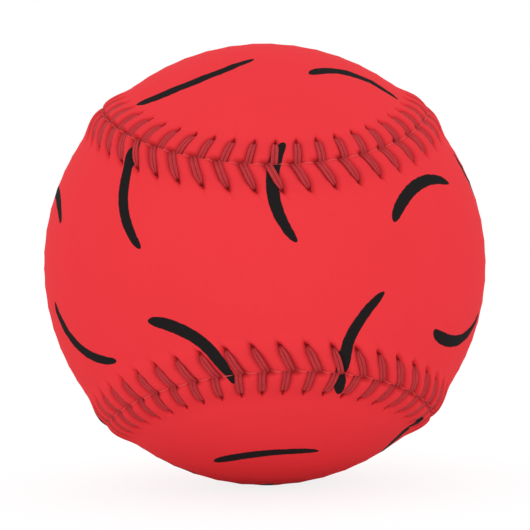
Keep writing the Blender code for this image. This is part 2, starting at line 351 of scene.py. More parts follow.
def grid_triangles(index):
    """Two triangles for each cell of a grid of vertex numbers, without those shrunk to an edge."""
    a, b = index[:-1, :-1], index[1:, :-1]
    c, d = index[1:, 1:], index[:-1, 1:]
    corners = [np.stack(three, axis=-1).reshape(-1, 3) for three in ((a, b, c), (a, c, d))]
    both = np.concatenate(corners)
    whole = (both[:, 0] != both[:, 1]) & (both[:, 1] != both[:, 2]) & (both[:, 2] != both[:, 0])
    return both[whole]


def add_piece(name, points, triangles, attributes, material, node, slot):
    """A smooth piece at the origin that stands for a CAD node, with its point attributes.

    The sum of the corners' triple products is six times the volume, and is negative where the
    faces point inwards. They are then turned over. An attribute is spread over the grid of points.
    """
    places = points.reshape(-1, 3)
    corners = places[triangles]
    if np.einsum("ij,ij", corners[:, 0], np.cross(corners[:, 1], corners[:, 2])) < 0:
        triangles = triangles[:, ::-1]
    used, order = np.unique(triangles, return_inverse=True)
    triangles = order.reshape(-1, 3).astype(np.int32)
    mesh = bpy.data.meshes.new(name)
    mesh.vertices.add(len(used))
    mesh.vertices.foreach_set("co", places[used].astype(np.float32).ravel())
    mesh.loops.add(triangles.size)
    mesh.loops.foreach_set("vertex_index", triangles.ravel())
    mesh.polygons.add(len(triangles))
    mesh.polygons.foreach_set("loop_start", np.arange(0, triangles.size, 3, dtype=np.int32))
    mesh.update(calc_edges=True)
    if mesh.validate():
        raise RuntimeError(f"{name} has faces that don't hold together")
    mesh.shade_smooth()
    for key, values in attributes.items():
        spread = np.broadcast_to(values, points.shape[:-1]).reshape(-1)
        attribute = mesh.attributes.new(key, "FLOAT", "POINT")
        attribute.data.foreach_set("value", spread[used].astype(np.float32))
    mesh.materials.append(material)
    piece = bpy.data.objects.new(name, mesh)
    bpy.context.scene.collection.objects.link(piece)
    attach(piece, BODY)
    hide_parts(node)
    return piece


# A panel's grid.
COLUMNS_PER_STITCH = 20
ROLL_ROWS = 4  # on the rolled edge
STRIP_ROWS = 22  # beside the seam
SPINE_ROWS = 7  # from there to the spine
WALL_ROWS = 2  # on the cut wall

# A panel's form.
ROLL_FALL = 0.6  # fall of the rolled edge, as a share of its width
STRIP_MARGIN = 0.0004  # how far the rows beside the seam go past the ridge
STRIP_SPREAD = 1.15  # how these rows spread out away from the seam
FLESH_INSET = 0.002  # distance from the seam of a row on the flesh side
SPINE_SHARE = 0.62  # share of the strip's azimuth that the spine keeps
BARE_START = 0.3  # where the pale cut edge starts to fade, as a share of the rolled edge
BARE_END = 0.95  # where it has faded


def panel_rows(sizes):
    """Rows of a panel from the spine of its flesh side, round the cut edge, to the spine of its face.

    Each row has its distance from the seam, its depth below the relief, how far it is down the
    cut edge to the flesh side, and how far it is on the way from the strip to the spine. The rows
    lie in five stretches: the flesh side, the cut wall, the rolled edge, the strip and the inner face.
    """
    edge = sizes.seam_gap / 2
    reach = sizes.ridge_reach + STRIP_MARGIN
    corner = np.linspace(0.0, math.pi / 2, ROLL_ROWS + 1)
    roll = edge + sizes.edge_roll * (1 - np.cos(corner))
    roll_depth = sizes.edge_roll * ROLL_FALL * (1 - np.sin(corner))
    strip = roll[-1] + (reach - roll[-1]) * np.linspace(0.0, 1.0, STRIP_ROWS + 1)[1:] ** STRIP_SPREAD
    wall = np.linspace(1.0, 0.0, WALL_ROWS + 2)[1:-1]
    inwards = np.linspace(0.0, 1.0, SPINE_ROWS + 1)[1:]
    flesh, flesh_way = [reach, reach, reach, FLESH_INSET, edge], [1.0, 0.5, 0.0, 0.0, 0.0]
    stretches = [(flesh, 0.0, 1.0, flesh_way),
                 (edge, roll_depth[0], wall, 0.0),
                 (roll, roll_depth, 0.0, 0.0),
                 (strip, 0.0, 0.0, 0.0),
                 (reach, 0.0, 0.0, inwards)]
    rows = [np.stack(np.broadcast_arrays(*stretch)) for stretch in stretches]
    return np.concatenate(rows, axis=1)[..., None]


def spine_columns(columns):
    """The column whose point on the spine each column takes: the lower of itself and its mirror image.

    Columns whose numbers add up to three quarters of the way round, or a whole round more, are
    mirror images in the XY plane. A column that is its own mirror image lies at an end of the
    spine, and takes its neighbour's point.
    """
    here = np.arange(columns)
    mirrored = (3 * columns // 4 - here) % columns
    taken = np.minimum(here, mirrored)
    ends = np.flatnonzero(mirrored == here)
    taken[ends] = taken[(ends + 1) % columns]
    return taken


def panel_surface(seam, lacing, side, sizes):
    """Points, triangles and attributes of a whole panel: a closed skin over rows and columns.

    Columns are arc lengths along the seam. Beside the seam a row is a line at one distance from it.
    Further in, a row is part of the way along the great circle from the strip to the panel's spine,
    the arc of the equator that keeps a share of the strip's azimuth. The two halves of the spine's
    row are mirror images in the XY plane, so they share their points. The back panel is worked out
    in the front panel's place and then turned half round the (1, 0, 1) axis.
    """
    columns = lacing.count * COLUMNS_PER_STITCH
    place = np.arange(columns)[None, :] / columns * seam.length
    offset, depth, down, way = panel_rows(sizes)
    strip = seam.beside(place, offset)
    rim = seam.beside(place, offset.max()[None, None])
    azimuth = np.arctan2(rim[..., 0], -rim[..., 1]) * SPINE_SHARE
    spine = np.stack([np.sin(azimuth), -np.cos(azimuth), np.zeros_like(azimuth)], axis=-1)
    between = np.arccos(np.clip(dot(strip, spine), -1.0, 1.0))
    inwards = way[..., None]
    outward = unit(np.sin((1 - inwards) * between) * strip + np.sin(inwards * between) * spine)
    own_place = place if side == FRONT else seam.length - place
    relief, number, step, past_hole, notch = cover_relief(lacing, own_place, offset, side, sizes)
    height = (relief - depth) * (1 - down) - sizes.cover_thickness * down
    points = outward * (sizes.ball_radius + height)[..., None]
    if side == BACK:
        points = points[..., [2, 1, 0]] * np.array([1.0, -1.0, 1.0])
    index = np.arange(points.shape[0] * columns).reshape(-1, columns)
    for row in (0, -1):
        index[row] = index[row][spine_columns(columns)]
    bare = 1 - smooth_step((offset - sizes.seam_gap / 2) / sizes.edge_roll, BARE_START, BARE_END)
    attributes = {"leg_sine": np.sin(math.tau * number), "leg_cosine": np.cos(math.tau * number),
                  "leg_step": step, "leg_end": LEG_END[side], "past_hole": past_hole,
                  "drop_size": DROP_SIZE[side], "notch": notch,
                  "cut": np.maximum(bare, down > 0)}
    return points, grid_triangles(closed(index, 1)), attributes


# The thread's grid: its steps over a leg and under a panel, and the sides of a strand.
LEG_STEPS = 13
UNDER_STEPS = 4
STRAND_SIDES = 10

# The thread's form.
LEG_SINK = 0.00042  # depth of a leg's centre line below the top of the ridge there
THROUGH_LEVEL = -0.00035  # height above the ball at which it passes through the leather
UNDER_DEPTH = 0.00022  # depth of its centre line below the flesh side
HOLE_CORNER = 4  # how squarely it bends at a hole
SEAM_CORNER = 7  # how squarely it bends at the seam
UNDER_WIDTH = 0.55  # share of its width that is left under a panel
THICK_KEPT = 0.7  # share of its thickness that it keeps however narrow it is
STRAND_CLOSE = 0.94  # distance between the two strands, as a share of a strand's width
HAND_SEED = 7
HAND_SHIFT = 0.00017  # how far a hand misses the place where a leg ends
HAND_SWELL = 0.09  # how much wider or narrower its pull leaves a leg

# A faint part of the seam's direction, which sets the way across where the thread runs straight down.
FAINT = 1e-6


def thread_path(lacing, sizes):
    """Centre line of the thread, as places along the seam, offsets, heights, widths and ways on a leg.

    A stitch has four spans: over the front panel from its hole to the seam, under the back panel
    to that panel's next hole, over the back panel to the seam, and under the front panel to the next
    hole there. With f from -1 to 1 over a span, the height is an arch (1 - |f|^n)^(1/n) that stands
    up or hangs down from the level at which the thread passes through the leather.
    """
    number = np.arange(lacing.count)[:, None]
    here, following = lacing.place(number), lacing.place(number + 1)
    chance = np.random.default_rng(HAND_SEED)
    shift = chance.uniform(-HAND_SHIFT, HAND_SHIFT, (2, lacing.count, 1))
    fat = 1 + chance.uniform(-HAND_SWELL, HAND_SWELL, (2, lacing.count, 1))
    front_hole, next_front_hole = lacing.hole(here, FRONT), lacing.hole(following, FRONT)
    back_hole, inset = lacing.hole(following, BACK), lacing.inset
    front_dive = lacing.dive(here, FRONT) + shift[0]
    back_dive = lacing.dive(following, BACK) + shift[1]
    front_past, back_past = -PAST_SEAM[FRONT], PAST_SEAM[BACK]
    spans = [(front_hole, inset, front_dive, front_past, fat[0], LEG_END[FRONT]),
             (front_dive, front_past, back_hole, -inset, None, None),
             (back_hole, -inset, back_dive, back_past, fat[1], LEG_END[BACK]),
             (back_dive, back_past, next_front_hole, inset, None, None)]
    rows = []
    for start, start_offset, end, end_offset, width, thin in spans:
        steps = UNDER_STEPS if width is None else LEG_STEPS
        f = np.sin(np.linspace(-math.pi / 2, math.pi / 2, steps + 1)[1:])[None, :]
        way = (1 + f) / 2
        offset = start_offset + (end_offset - start_offset) * way
        if width is None:
            top, swell, on_leg = -sizes.cover_thickness - UNDER_DEPTH, UNDER_WIDTH, 0.0
        else:
            top, on_leg = ridge(np.abs(offset), sizes) - LEG_SINK, way
            swell = (thin + (1 - thin) * smooth_step(way, 0.0, TAPER_LENGTH / inset)) * width
        corner = np.where(f < 0, HOLE_CORNER, SEAM_CORNER)
        arch = (1 - np.abs(f) ** corner) ** (1 / corner)
        height = THROUGH_LEVEL + (top - THROUGH_LEVEL) * arch
        columns = (start + (end - start) * way, offset, height, swell, on_leg)
        rows.append(np.stack(np.broadcast_arrays(*columns), axis=-1))
    path = np.concatenate(rows, axis=1)
    return path.reshape(-1, path.shape[-1])


def thread_surface(seam, lacing, sizes):
    """Points, triangles and attributes of the doubled thread: two oval strands side by side.

    The oval's width lies along the seam, square to the leg, and its thickness is square to both the
    width and the path. Each strand stands off the centre line by nearly half its width, so that the
    two press together.
    """
    place, offset, height, swell, way = thread_path(lacing, sizes).T
    along, outward = seam.frame(place)[1], seam.beside(place, offset)
    centre = outward * (seam.radius + height)[:, None]
    path = unit(np.gradient(centre, axis=0))
    level = path - dot(path, outward) * outward
    across = np.cross(outward, level)
    across = unit(across * np.sign(dot(across, along)) + along * FAINT)
    up = np.cross(path, across)
    half_width = sizes.strand_width / 2 * swell[:, None, None]
    half_thickness = sizes.strand_thickness / 2 * (THICK_KEPT + (1 - THICK_KEPT) * swell[:, None, None])
    turns = np.arange(STRAND_SIDES) / STRAND_SIDES * math.tau
    oval = (across[:, None] * (np.cos(turns)[None, :, None] * half_width)
            + up[:, None] * (np.sin(turns)[None, :, None] * half_thickness))
    points = np.stack([centre[:, None] + oval + sign * across[:, None] * half_width * STRAND_CLOSE
                       for sign in (-1, 1)])
    index = np.arange(points[..., 0].size).reshape(points.shape[:-1])
    triangles = np.concatenate([grid_triangles(strand) for strand in closed(closed(index, 2), 1)])
    attributes = {"along": arc_lengths(centre)[None, :, None], "across": np.cos(turns)[None, None, :],
                  "strand": np.arange(2)[:, None, None], "way": way[None, :, None]}
    return points, triangles, attributes


# The layers inside: their grids, the hole where the yarn runs in, the cups' rims and the ring's corners.
SHELL_ROWS = 230
LINING_ROWS = 20
SHELL_COLUMNS = 340
YARN_HOLE = math.radians(5.0)
CUP_ROWS = 30
CUP_COLUMNS = 120
RIM_CHAMFER = 0.0003
RING_SIDES = 32
RING_CORNER = 6


def layer_radius(node):
    """Radius of a round layer: how far its CAD solid reaches along its axis, which is Y."""
    low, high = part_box(node)
    return max(-low.y, high.y)


def directions(polar, columns):
    """Unit vectors by angle from the Y axis, one row each, and by turn round it."""
    turn = np.arange(columns)[None, :] / columns * math.tau
    polar = np.asarray(polar)[:, None]
    return np.stack(np.broadcast_arrays(np.sin(polar) * np.cos(turn), np.cos(polar),
                                        np.sin(polar) * np.sin(turn)), axis=-1)


def turned_index(rows, columns, poles, ring):
    """Vertex numbers of a profile turned round an axis.

    A row on the axis is one point. The last column meets the first, and where the profile is a
    ring, its last row meets its first.
    """
    index = np.arange(rows * columns).reshape(rows, columns)
    index[poles] = index[poles][:, :1]
    index = closed(index, 1)
    return closed(index, 0) if ring else index


# The cork ball: its grid, its grains, and the width and depth of the gaps between them.
CORK_ROWS = 130
CORK_COLUMNS = 220
CORK_SEED = 11
CORK_GRAINS = 600
CORK_GAP = 0.0004
CORK_PIT = 0.00016


def cork_surface(radius):
    """Points, triangles and attributes of a ball of pressed cork grains.

    Each point belongs to the nearest of many middles strewn over the ball. Where the next nearest
    is hardly further, the point lies between two grains and sinks in.
    """
    chance = np.random.default_rng(CORK_SEED)
    middles = unit(chance.normal(size=(CORK_GRAINS, 3)))
    tones = chance.uniform(size=CORK_GRAINS)
    outward = directions(np.linspace(0.0, math.pi, CORK_ROWS), CORK_COLUMNS)
    away = np.arccos(np.clip(outward @ middles.T, -1.0, 1.0)) * radius
    nearest = np.partition(away, 1, axis=-1)
    grain = smooth_step(nearest[..., 1] - nearest[..., 0], 0.0, CORK_GAP)
    points = outward * (radius - CORK_PIT * (1 - grain))[..., None]
    index = turned_index(CORK_ROWS, CORK_COLUMNS, [0, -1], False)
    attributes = {"grain": grain, "tone": tones[np.argmin(away, axis=-1)]}
    return points, grid_triangles(index), attributes


def cup_surface(inner, outer, rim, side):
    """Points and triangles of half a hollow ball, from its inner pole over the rim to its outer pole.

    The rim lies this far from the middle plane, with its two corners cut off. Side is 1 for the
    cup on +Y and -1 for the cup on -Y.
    """
    corner = rim + RIM_CHAMFER
    inner_angle = np.linspace(0.0, math.acos(corner / inner), CUP_ROWS)
    outer_angle = np.linspace(math.acos(corner / outer), 0.0, CUP_ROWS)
    flat = np.array([math.sqrt(inner ** 2 - rim ** 2) + RIM_CHAMFER,
                     math.sqrt(outer ** 2 - rim ** 2) - RIM_CHAMFER])
    polar = np.concatenate([inner_angle, np.arctan2(flat, rim), outer_angle])
    radius = np.concatenate([np.full(CUP_ROWS, inner), np.hypot(flat, rim), np.full(CUP_ROWS, outer)])
    points = directions(polar, CUP_COLUMNS) * radius[:, None, None] * np.array([1.0, side, 1.0])
    index = turned_index(len(polar), CUP_COLUMNS, [0, -1], False)
    return points, grid_triangles(index), {}


def ring_surface(inner, outer, half_height):
    """Points and triangles of a flat ring whose section is a superellipse, |x|^n + |y|^n = 1."""
    turn = np.arange(RING_SIDES) / RING_SIDES * math.tau
    power = 2 / RING_CORNER
    x, y = [np.sign(wave) * np.abs(wave) ** power for wave in (np.cos(turn), np.sin(turn))]
    across, along = (inner + outer) / 2 + (outer - inner) / 2 * x, half_height * y
    points = directions(np.arctan2(across, along), CUP_COLUMNS) * np.hypot(across, along)[:, None, None]
    return points, grid_triangles(turned_index(RING_SIDES, CUP_COLUMNS, [], True)), {}


# Yarn: how often each place is wound over, and the depth of the grooves as a share of the yarn's width.
WOUND_OVER = 7
GROOVE_SHARE = 0.3


def yarn_height(outward, radius, width, seed):
    """Height, from 0 in the grooves to 1, of yarn wound round a ball in great circles.

    The axis of each turn is drawn by chance. Across a turn the height is 1 - x^2, and a turn hides
    those that were wound before it.
    """
    turns = round(WOUND_OVER * 2 * radius / width)
    axes = unit(np.random.default_rng(seed).normal(size=(turns, 3)))
    height = np.zeros(outward.shape[:-1])
    for axis in axes:
        x = np.arcsin(np.clip(outward @ axis, -1.0, 1.0)) * 2 * radius / width
        height = np.where(np.abs(x) < 1, 1 - x ** 2, height)
    return height


def winding_surface(inner, outer, width, seed):
    """Points, triangles and attributes of a shell of wound yarn, with the hole where it runs in.

    Rows go from the hole down the outside to the far pole, and back up the lining to the hole.
    """
    outside = np.linspace(YARN_HOLE, math.pi, SHELL_ROWS)
    lining = np.linspace(math.pi, YARN_HOLE, LINING_ROWS)
    outward = directions(np.concatenate([outside, lining]), SHELL_COLUMNS)
    crest = yarn_height(outward, outer, width, seed)
    groove = min(GROOVE_SHARE * width, (outer - inner) / 2)
    height = outer - groove * (1 - crest)
    height[SHELL_ROWS:] = inner
    index = turned_index(len(outward), SHELL_COLUMNS, [SHELL_ROWS - 1, SHELL_ROWS], True)
    return outward * height[..., None], grid_triangles(index), {"crest": crest}


class Result:
    """A result in a graph of nodes. Python's signs add the Math nodes that work on it."""

    def __init__(self, graph, socket):
        self.graph = graph
        self.socket = socket

    def __add__(self, other):
        return self.graph.math("ADD", self, other)

    def __sub__(self, other):
        return self.graph.math("SUBTRACT", self, other)

    def __rsub__(self, other):
        return self.graph.math("SUBTRACT", other, self)

    def __mul__(self, other):
        return self.graph.math("MULTIPLY", self, other)

    def __truediv__(self, other):
        return self.graph.math("DIVIDE", self, other)

    def __neg__(self):
        return self.graph.math("MULTIPLY", self, -1.0)

    def __abs__(self):
        return self.graph.math("ABSOLUTE", self)


# Values that the finishes share.
UNIT_SPAN = (0.0, 1.0)  # all that a share can be
NOISE_SPAN = (0.3, 0.7)  # most of what a noise gives
FIRST_COLOUR = 6  # numbers of the Mix node's colour sockets
SECOND_COLOUR = 7
MIXED_COLOUR = 2
WHITE = (1.0, 1.0, 1.0)


def tinted(rgb, tone=1.0):
    """A colour made darker or lighter, as far as full strength, with full alpha."""
    return (*(min(1.0, part * tone) for part in rgb), 1.0)


class Graph:
    """The nodes of a new material or world, with short calls that add a node and give its result."""

    def __init__(self, owner):
        owner.use_nodes = True
        self.owner = owner
        self.nodes = owner.node_tree.nodes
        self.links = owner.node_tree.links

    def put(self, socket, value):
        """Links a result to a socket, or sets a plain value on it."""
        if isinstance(value, Result):
            self.links.new(value.socket, socket)
        else:
            socket.default_value = value

    def node(self, kind, inputs=(), **settings):
        """Adds a node with its settings and its inputs by name or number."""
        node = self.nodes.new(kind)
        for key, value in settings.items():
            setattr(node, key, value)
        for key, value in dict(inputs).items():
            self.put(node.inputs[key], value)
        return node

    def result(self, kind, inputs=(), output=0, **settings):
        """Adds a node and gives one of its results."""
        return Result(self, self.node(kind, inputs, **settings).outputs[output])

    def math(self, operation, *values):
        """The result of a Math node."""
        return self.result("ShaderNodeMath", enumerate(values), operation=operation)

    def waves(self, turn):
        """The sine and the cosine of an angle."""
        return self.math("SINE", turn), self.math("COSINE", turn)

    def highest(self, *values):
        """The highest of several results."""
        return functools.reduce(functools.partial(self.math, "MAXIMUM"), values)

    def combine(self, x, y, z):
        """A vector of three results."""
        return self.result("ShaderNodeCombineXYZ", {"X": x, "Y": y, "Z": z})

    def split(self, vector):
        """The three parts of a vector."""
        return [Result(self, part) for part in self.node("ShaderNodeSeparateXYZ", {0: vector}).outputs]

    def dot(self, first, second):
        """The product of two vectors."""
        return self.result("ShaderNodeVectorMath", {0: first, 1: second}, "Value", operation="DOT_PRODUCT")

    def position(self):
        """Object coordinates."""
        return self.result("ShaderNodeTexCoord", output="Object")

    def attribute(self, name):
        """A point attribute of the piece."""
        return self.result("ShaderNodeAttribute", output="Fac", attribute_name=name)

    def noise(self, vector, lumps, detail):
        """Soft noise from 0 to 1 with this many lumps to one unit of the vector."""
        inputs = {"Vector": vector, "Scale": lumps, "Detail": detail}
        return self.result("ShaderNodeTexNoise", inputs, "Fac")

    def mix(self, factor, first, second):
        """One colour turning into another."""
        inputs = {"Factor": factor, FIRST_COLOUR: first, SECOND_COLOUR: second}
        return self.result("ShaderNodeMix", inputs, MIXED_COLOUR, data_type="RGBA")

    def toned(self, factor, rgb, tones):
        """A colour turning from one tone of itself into another."""
        return self.mix(factor, *(tinted(rgb, tone) for tone in tones))

    def map_range(self, value, span, result=UNIT_SPAN, kind="LINEAR"):
        """A value moved from one span to another, and held inside it."""
        ends = zip(("From Min", "From Max", "To Min", "To Max"), (*span, *result))
        return self.result("ShaderNodeMapRange", {"Value": value, **dict(ends)}, "Result",
                           interpolation_type=kind)

    def bump(self, height, strength, distance):
        """A normal that follows a height."""
        inputs = {"Height": height, "Strength": strength, "Distance": distance}
        return self.result("ShaderNodeBump", inputs, "Normal")

    def finish(self, **inputs):
        """Sets the main shader's inputs, with spaces for underscores, and gives the material."""
        for key, value in inputs.items():
            self.put(self.nodes["Principled BSDF"].inputs[key.replace("_", " ")], value)
        return self.owner


def new_finish(name):
    """The graph of a new material."""
    return Graph(bpy.data.materials.new(name))


# The print: rows of cells by latitude, cells round the equator, and the steps that vary the dashes.
ROW_STEP = math.radians(36.0)
DASHES_ROUND = 9
ROW_SHIFT = 0.46
TILT_STEPS = (0.63, 0.72)
BOW_STEPS = (0.68, 0.17)
LENGTH_STEPS = (0.17, 0.88)

# A brush dash.
DASH_TILT = math.radians(85.0)  # the most that it tilts either way
HALF_LENGTHS = (0.42, 0.55)  # shortest and longest, as shares of the dash length
DASH_BOW = 0.0026  # depth of its bow
BOW_MIDDLE = 0.4  # share of the bow by which its middle stands off
BLUNTNESS = 4.0  # how blunt its ends are
BRUSH_PRESS = (1.1, 0.8)  # share of the dash width from its first end to its last
EDGE_LUMPS = 1100.0  # lumps of its rough edge to the metre
EDGE_ROUGHNESS = 0.00015  # how far they stand out
INK_FADE = (-0.00004, 0.00006)  # distance inside its edge over which the ink sets in


def brush_dashes(graph, sizes):
    """1 on the ink of the print and 0 beside it.

    Rows of cells lie one step of latitude apart, each with as many cells as its circle has room
    for. The fraction of a cell's number times a step plus its row's times another turns its dash,
    bows it and sets its length. In the plane that touches the ball at the middle of the cell, the
    dash is the strip nearer to a parabola than half the brush's width, which narrows to the ends,
    and noise roughens its edge.
    """
    position = graph.position()
    x, y, z = graph.split(position)
    latitude = graph.math("ARCTAN2", z, graph.math("SQRT", x * x + y * y))
    longitude = graph.math("ARCTAN2", x, -y)
    row = graph.math("FLOOR", latitude / ROW_STEP)
    row_sine, row_cosine = graph.waves((row + 0.5) * ROW_STEP)
    cells = graph.highest(graph.math("ROUND", row_cosine * DASHES_ROUND), 1.0)
    phase = graph.math("FRACT", row * ROW_SHIFT)
    cell = graph.math("ROUND", longitude / math.tau * cells + phase)
    cell_sine, cell_cosine = graph.waves((cell - phase) / cells * math.tau)
    number = graph.math("FLOORED_MODULO", cell, cells)

    def varied(steps):
        """A fraction of its own for each cell."""
        return graph.math("FRACT", number * steps[0] + row * steps[1])

    right = graph.dot(position, graph.combine(cell_cosine, cell_sine, 0.0))
    up = graph.dot(position, graph.combine(-(cell_sine * row_sine), cell_cosine * row_sine, row_cosine))
    tilt = graph.map_range(varied(TILT_STEPS), UNIT_SPAN, (-DASH_TILT, DASH_TILT))
    tilt_sine, tilt_cosine = graph.waves(tilt)
    forward = right * tilt_cosine + up * tilt_sine
    sideways = up * tilt_cosine - right * tilt_sine
    half_lengths = [part * sizes.dash_length for part in HALF_LENGTHS]
    end = forward / graph.map_range(varied(LENGTH_STEPS), UNIT_SPAN, half_lengths)
    end_squared = end * end
    bow = graph.math("SIGN", varied(BOW_STEPS) - 0.5)
    line = bow * DASH_BOW * (BOW_MIDDLE - end_squared)
    blunt = graph.math("SQRT", graph.highest(1.0 - graph.math("POWER", end_squared, BLUNTNESS), 0.0))
    width = blunt * graph.map_range(end, (-1.0, 1.0), BRUSH_PRESS) * (sizes.dash_width / 2)
    edge = graph.noise(position, EDGE_LUMPS, detail=3.0)
    rough = graph.map_range(edge, UNIT_SPAN, (-EDGE_ROUGHNESS, EDGE_ROUGHNESS))
    ink = graph.map_range(width + rough - abs(sideways - line), INK_FADE)
    return ink * graph.math("LESS_THAN", end_squared, 1.0)


# Painted shade on the leather at the stitches. A share is how far its colour goes towards the painted shade
# colour.
CONTACT_REACH = 0.00085  # beside a leg
CONTACT_SHARE = 0.43
CONTACT_FADE = (-0.0004, 0.0004)  # distance past the hole over which it fades
BETWEEN_SHARE = 0.058  # between the legs
BETWEEN_FADE = (-0.0005, 0.001)  # distance past the hole over which it fades
SEAM_REACH = 0.0006  # beside the seam
SEAM_SHARE = 0.17
NOTCH_SHARE = 0.5  # in a notch
DROP_HALF_WIDTH = 0.00038  # in the drop at a hole
DROP_LENGTH = 0.00085
DROP_SHARE = 0.7
DROP_EDGE = (-0.0001, 0.00018)  # distance inside its edge over which it darkens
DROP_START = (-0.0003, 0.0)  # distance past the hole over which it sets in
DROP_TIP = (0.0, 0.05)  # share of its length that is left where it fades
CREASE_HALF_WIDTH = 0.00026  # in the fine crease beyond the drop
CREASE_SHARE = 0.19


def painted_stitch_shade(graph, sizes):
    """Painted shade on the leather round the stitches, from its distances to the leg and past the hole.

    The panel keeps the sine and cosine of the leg's number, which have no jump from leg to leg.
    Beside a leg it fades both ways from the leg's edge, and half a leg is as wide as one strand.
    Beside the seam it fades away from it. The hole gets a drop of painted shade whose half width falls as
    a parabola does to its tip, and a larger drop is darker. The crease's shade beyond it thins out and
    fades.
    """
    part = graph.math("ARCTAN2", graph.attribute("leg_sine"), graph.attribute("leg_cosine"))
    from_leg = abs(part) / math.tau * graph.attribute("leg_step")
    past = graph.attribute("past_hole")
    half_widths = (sizes.strand_width, graph.attribute("leg_end") * sizes.strand_width)
    edge = graph.map_range(past, (-TAPER_LENGTH, 0.0), half_widths, "SMOOTHSTEP")
    near = graph.map_range(abs(from_leg - edge), (0.0, CONTACT_REACH), (1.0, 0.0))
    contact = near * near * graph.map_range(past, CONTACT_FADE, (CONTACT_SHARE, 0.0))
    contact = contact + graph.map_range(past, BETWEEN_FADE, (BETWEEN_SHARE, 0.0))
    contact = contact + graph.map_range(past + sizes.hole_inset, (0.0, SEAM_REACH), (SEAM_SHARE, 0.0))
    contact = contact + graph.attribute("notch") * NOTCH_SHARE
    size = graph.attribute("drop_size")
    left = graph.map_range(past, (0.0, size * DROP_LENGTH), (1.0, 0.0))
    drop_width = graph.math("SQRT", left) * size * DROP_HALF_WIDTH
    drop = graph.map_range(drop_width - from_leg, DROP_EDGE, kind="SMOOTHSTEP")
    strength = graph.map_range(past, DROP_START, (0.0, DROP_SHARE))
    drop = drop * size * strength * graph.map_range(left, DROP_TIP)
    painted_shade = graph.map_range(from_leg, (0.0, CREASE_HALF_WIDTH), (1.0, 0.0), "SMOOTHSTEP")
    painted_shade = painted_shade * graph.map_range(past, (HOLE_LENGTH, TAIL_END), (CREASE_SHARE, 0.0))
    painted_shade = painted_shade * graph.map_range(past, (0.0, HOLE_LENGTH))
    return graph.highest(contact, drop, painted_shade)


# The leather: its faint blotches and its grain, in lumps to the metre, with their tones and roughness.
LEATHER_BLOTCHES = 70.0
BLOTCH_SHARE = 0.06
BLOTCH_TONES = (1.0, 0.7)
LEATHER_GRAIN = 2600.0
GRAIN_SPAN = (0.2, 0.8)
LEATHER_ROUGHNESS = (0.72, 0.82)


def make_leather(sizes, colours):
    """Smooth printed leather: ink on red, painted shade round the stitches, pale on the cut edge, a faint
    grain.
    """
    graph = new_finish("printed leather")
    position = graph.position()
    blotch = graph.noise(position, LEATHER_BLOTCHES, detail=3.0)
    blotched = graph.map_range(blotch, NOISE_SPAN, (0.0, BLOTCH_SHARE))
    red = graph.toned(blotched, colours.leather, BLOTCH_TONES)
    shaded = graph.mix(painted_stitch_shade(graph, sizes), red, tinted(colours.painted_shade))
    printed = graph.mix(brush_dashes(graph, sizes), shaded, tinted(colours.ink))
    edged = graph.mix(graph.attribute("cut"), printed, tinted(colours.cut_edge))
    grain = graph.noise(position, LEATHER_GRAIN, detail=4.0)
    return graph.finish(Base_Color=edged, Roughness=graph.map_range(grain, GRAIN_SPAN, LEATHER_ROUGHNESS),
                        Specular_IOR_Level=0.03, Normal=graph.bump(grain, strength=0.25, distance=0.00008))


# The thread's fibres.
FILAMENTS = 8.0  # angle that the waves of light and dark run through over half a strand
FILAMENT_SHARE = 0.12  # their part in the streaks
WANDER_LUMPS = 350.0  # bends of the filaments to the metre
WANDER_REACH = (-0.5, 0.5)  # how far they wander, as shares of half a strand
FLECK_LUMPS = 500.0  # flecks to the metre along a strand
FLECKS_ACROSS = 6.0  # flecks over half a strand
STRANDS_APART = 7.0  # distance between the noises of the two strands
STREAK_SPAN = (0.25, 0.75)
THREAD_TONES = (0.7, 1.45)

# Painted shade, where a strand turns dark.
STRAND_EDGE = (0.62, 1.0)  # at its edges, as shares of half its width
STRAND_EDGE_SHARE = 0.6
LEG_START = (0.02, 0.07)  # at its hole, as shares of the way along a leg
LEG_START_SHARE = 0.7
LEG_FINISH = (0.7, 1.0)  # at the seam
LEG_FINISH_SHARE = 0.36


def make_waxed_thread(colours):
    """Waxed cotton: pale filaments along each strand, painted shade between the strands and at a leg's two
    ends.
    """
    graph = new_finish("waxed thread")
    along, across = graph.attribute("along"), graph.attribute("across")
    apart = graph.attribute("strand") * STRANDS_APART
    slow = graph.noise(graph.combine(along * WANDER_LUMPS, apart, 0.0), lumps=1.0, detail=2.0)
    lengthwise = graph.combine(along * FLECK_LUMPS, across * FLECKS_ACROSS, apart)
    fleck = graph.noise(lengthwise, lumps=1.0, detail=3.0)
    turned = across + graph.map_range(slow, NOISE_SPAN, WANDER_REACH)
    streak = graph.math("SINE", turned * FILAMENTS) * FILAMENT_SHARE + fleck
    tone = graph.toned(graph.map_range(streak, STREAK_SPAN), colours.thread, THREAD_TONES)
    edge = graph.map_range(abs(across), STRAND_EDGE, (0.0, STRAND_EDGE_SHARE))
    tone = graph.mix(edge, tone, tinted(colours.thread_edge_shade))
    way = graph.attribute("way")
    start = graph.map_range(way, LEG_START, (LEG_START_SHARE, 0.0))
    finish = graph.map_range(way, LEG_FINISH, (0.0, LEG_FINISH_SHARE))
    tone = graph.mix(start + finish, tone, tinted(colours.painted_shade))
    return graph.finish(Base_Color=tone, Roughness=0.55, Specular_IOR_Level=0.1,
                        Normal=graph.bump(streak, strength=0.7, distance=0.0001))


# Rubber: its lumps to the metre, and how much lighter and darker they are.
RUBBER_LUMPS = 400.0
BLACK_CONTRAST = 0.15
RED_CONTRAST = 0.12


def make_rubber(name, rgb, contrast):
    """Moulded rubber with lumps of lighter and darker tone."""
    graph = new_finish(name)
    lumps = graph.noise(graph.position(), RUBBER_LUMPS, detail=4.0)
    tone = graph.toned(graph.map_range(lumps, NOISE_SPAN), rgb, (1 - contrast, 1 + contrast))
    return graph.finish(Base_Color=tone, Roughness=0.6,
                        Normal=graph.bump(lumps, strength=0.4, distance=0.0003))


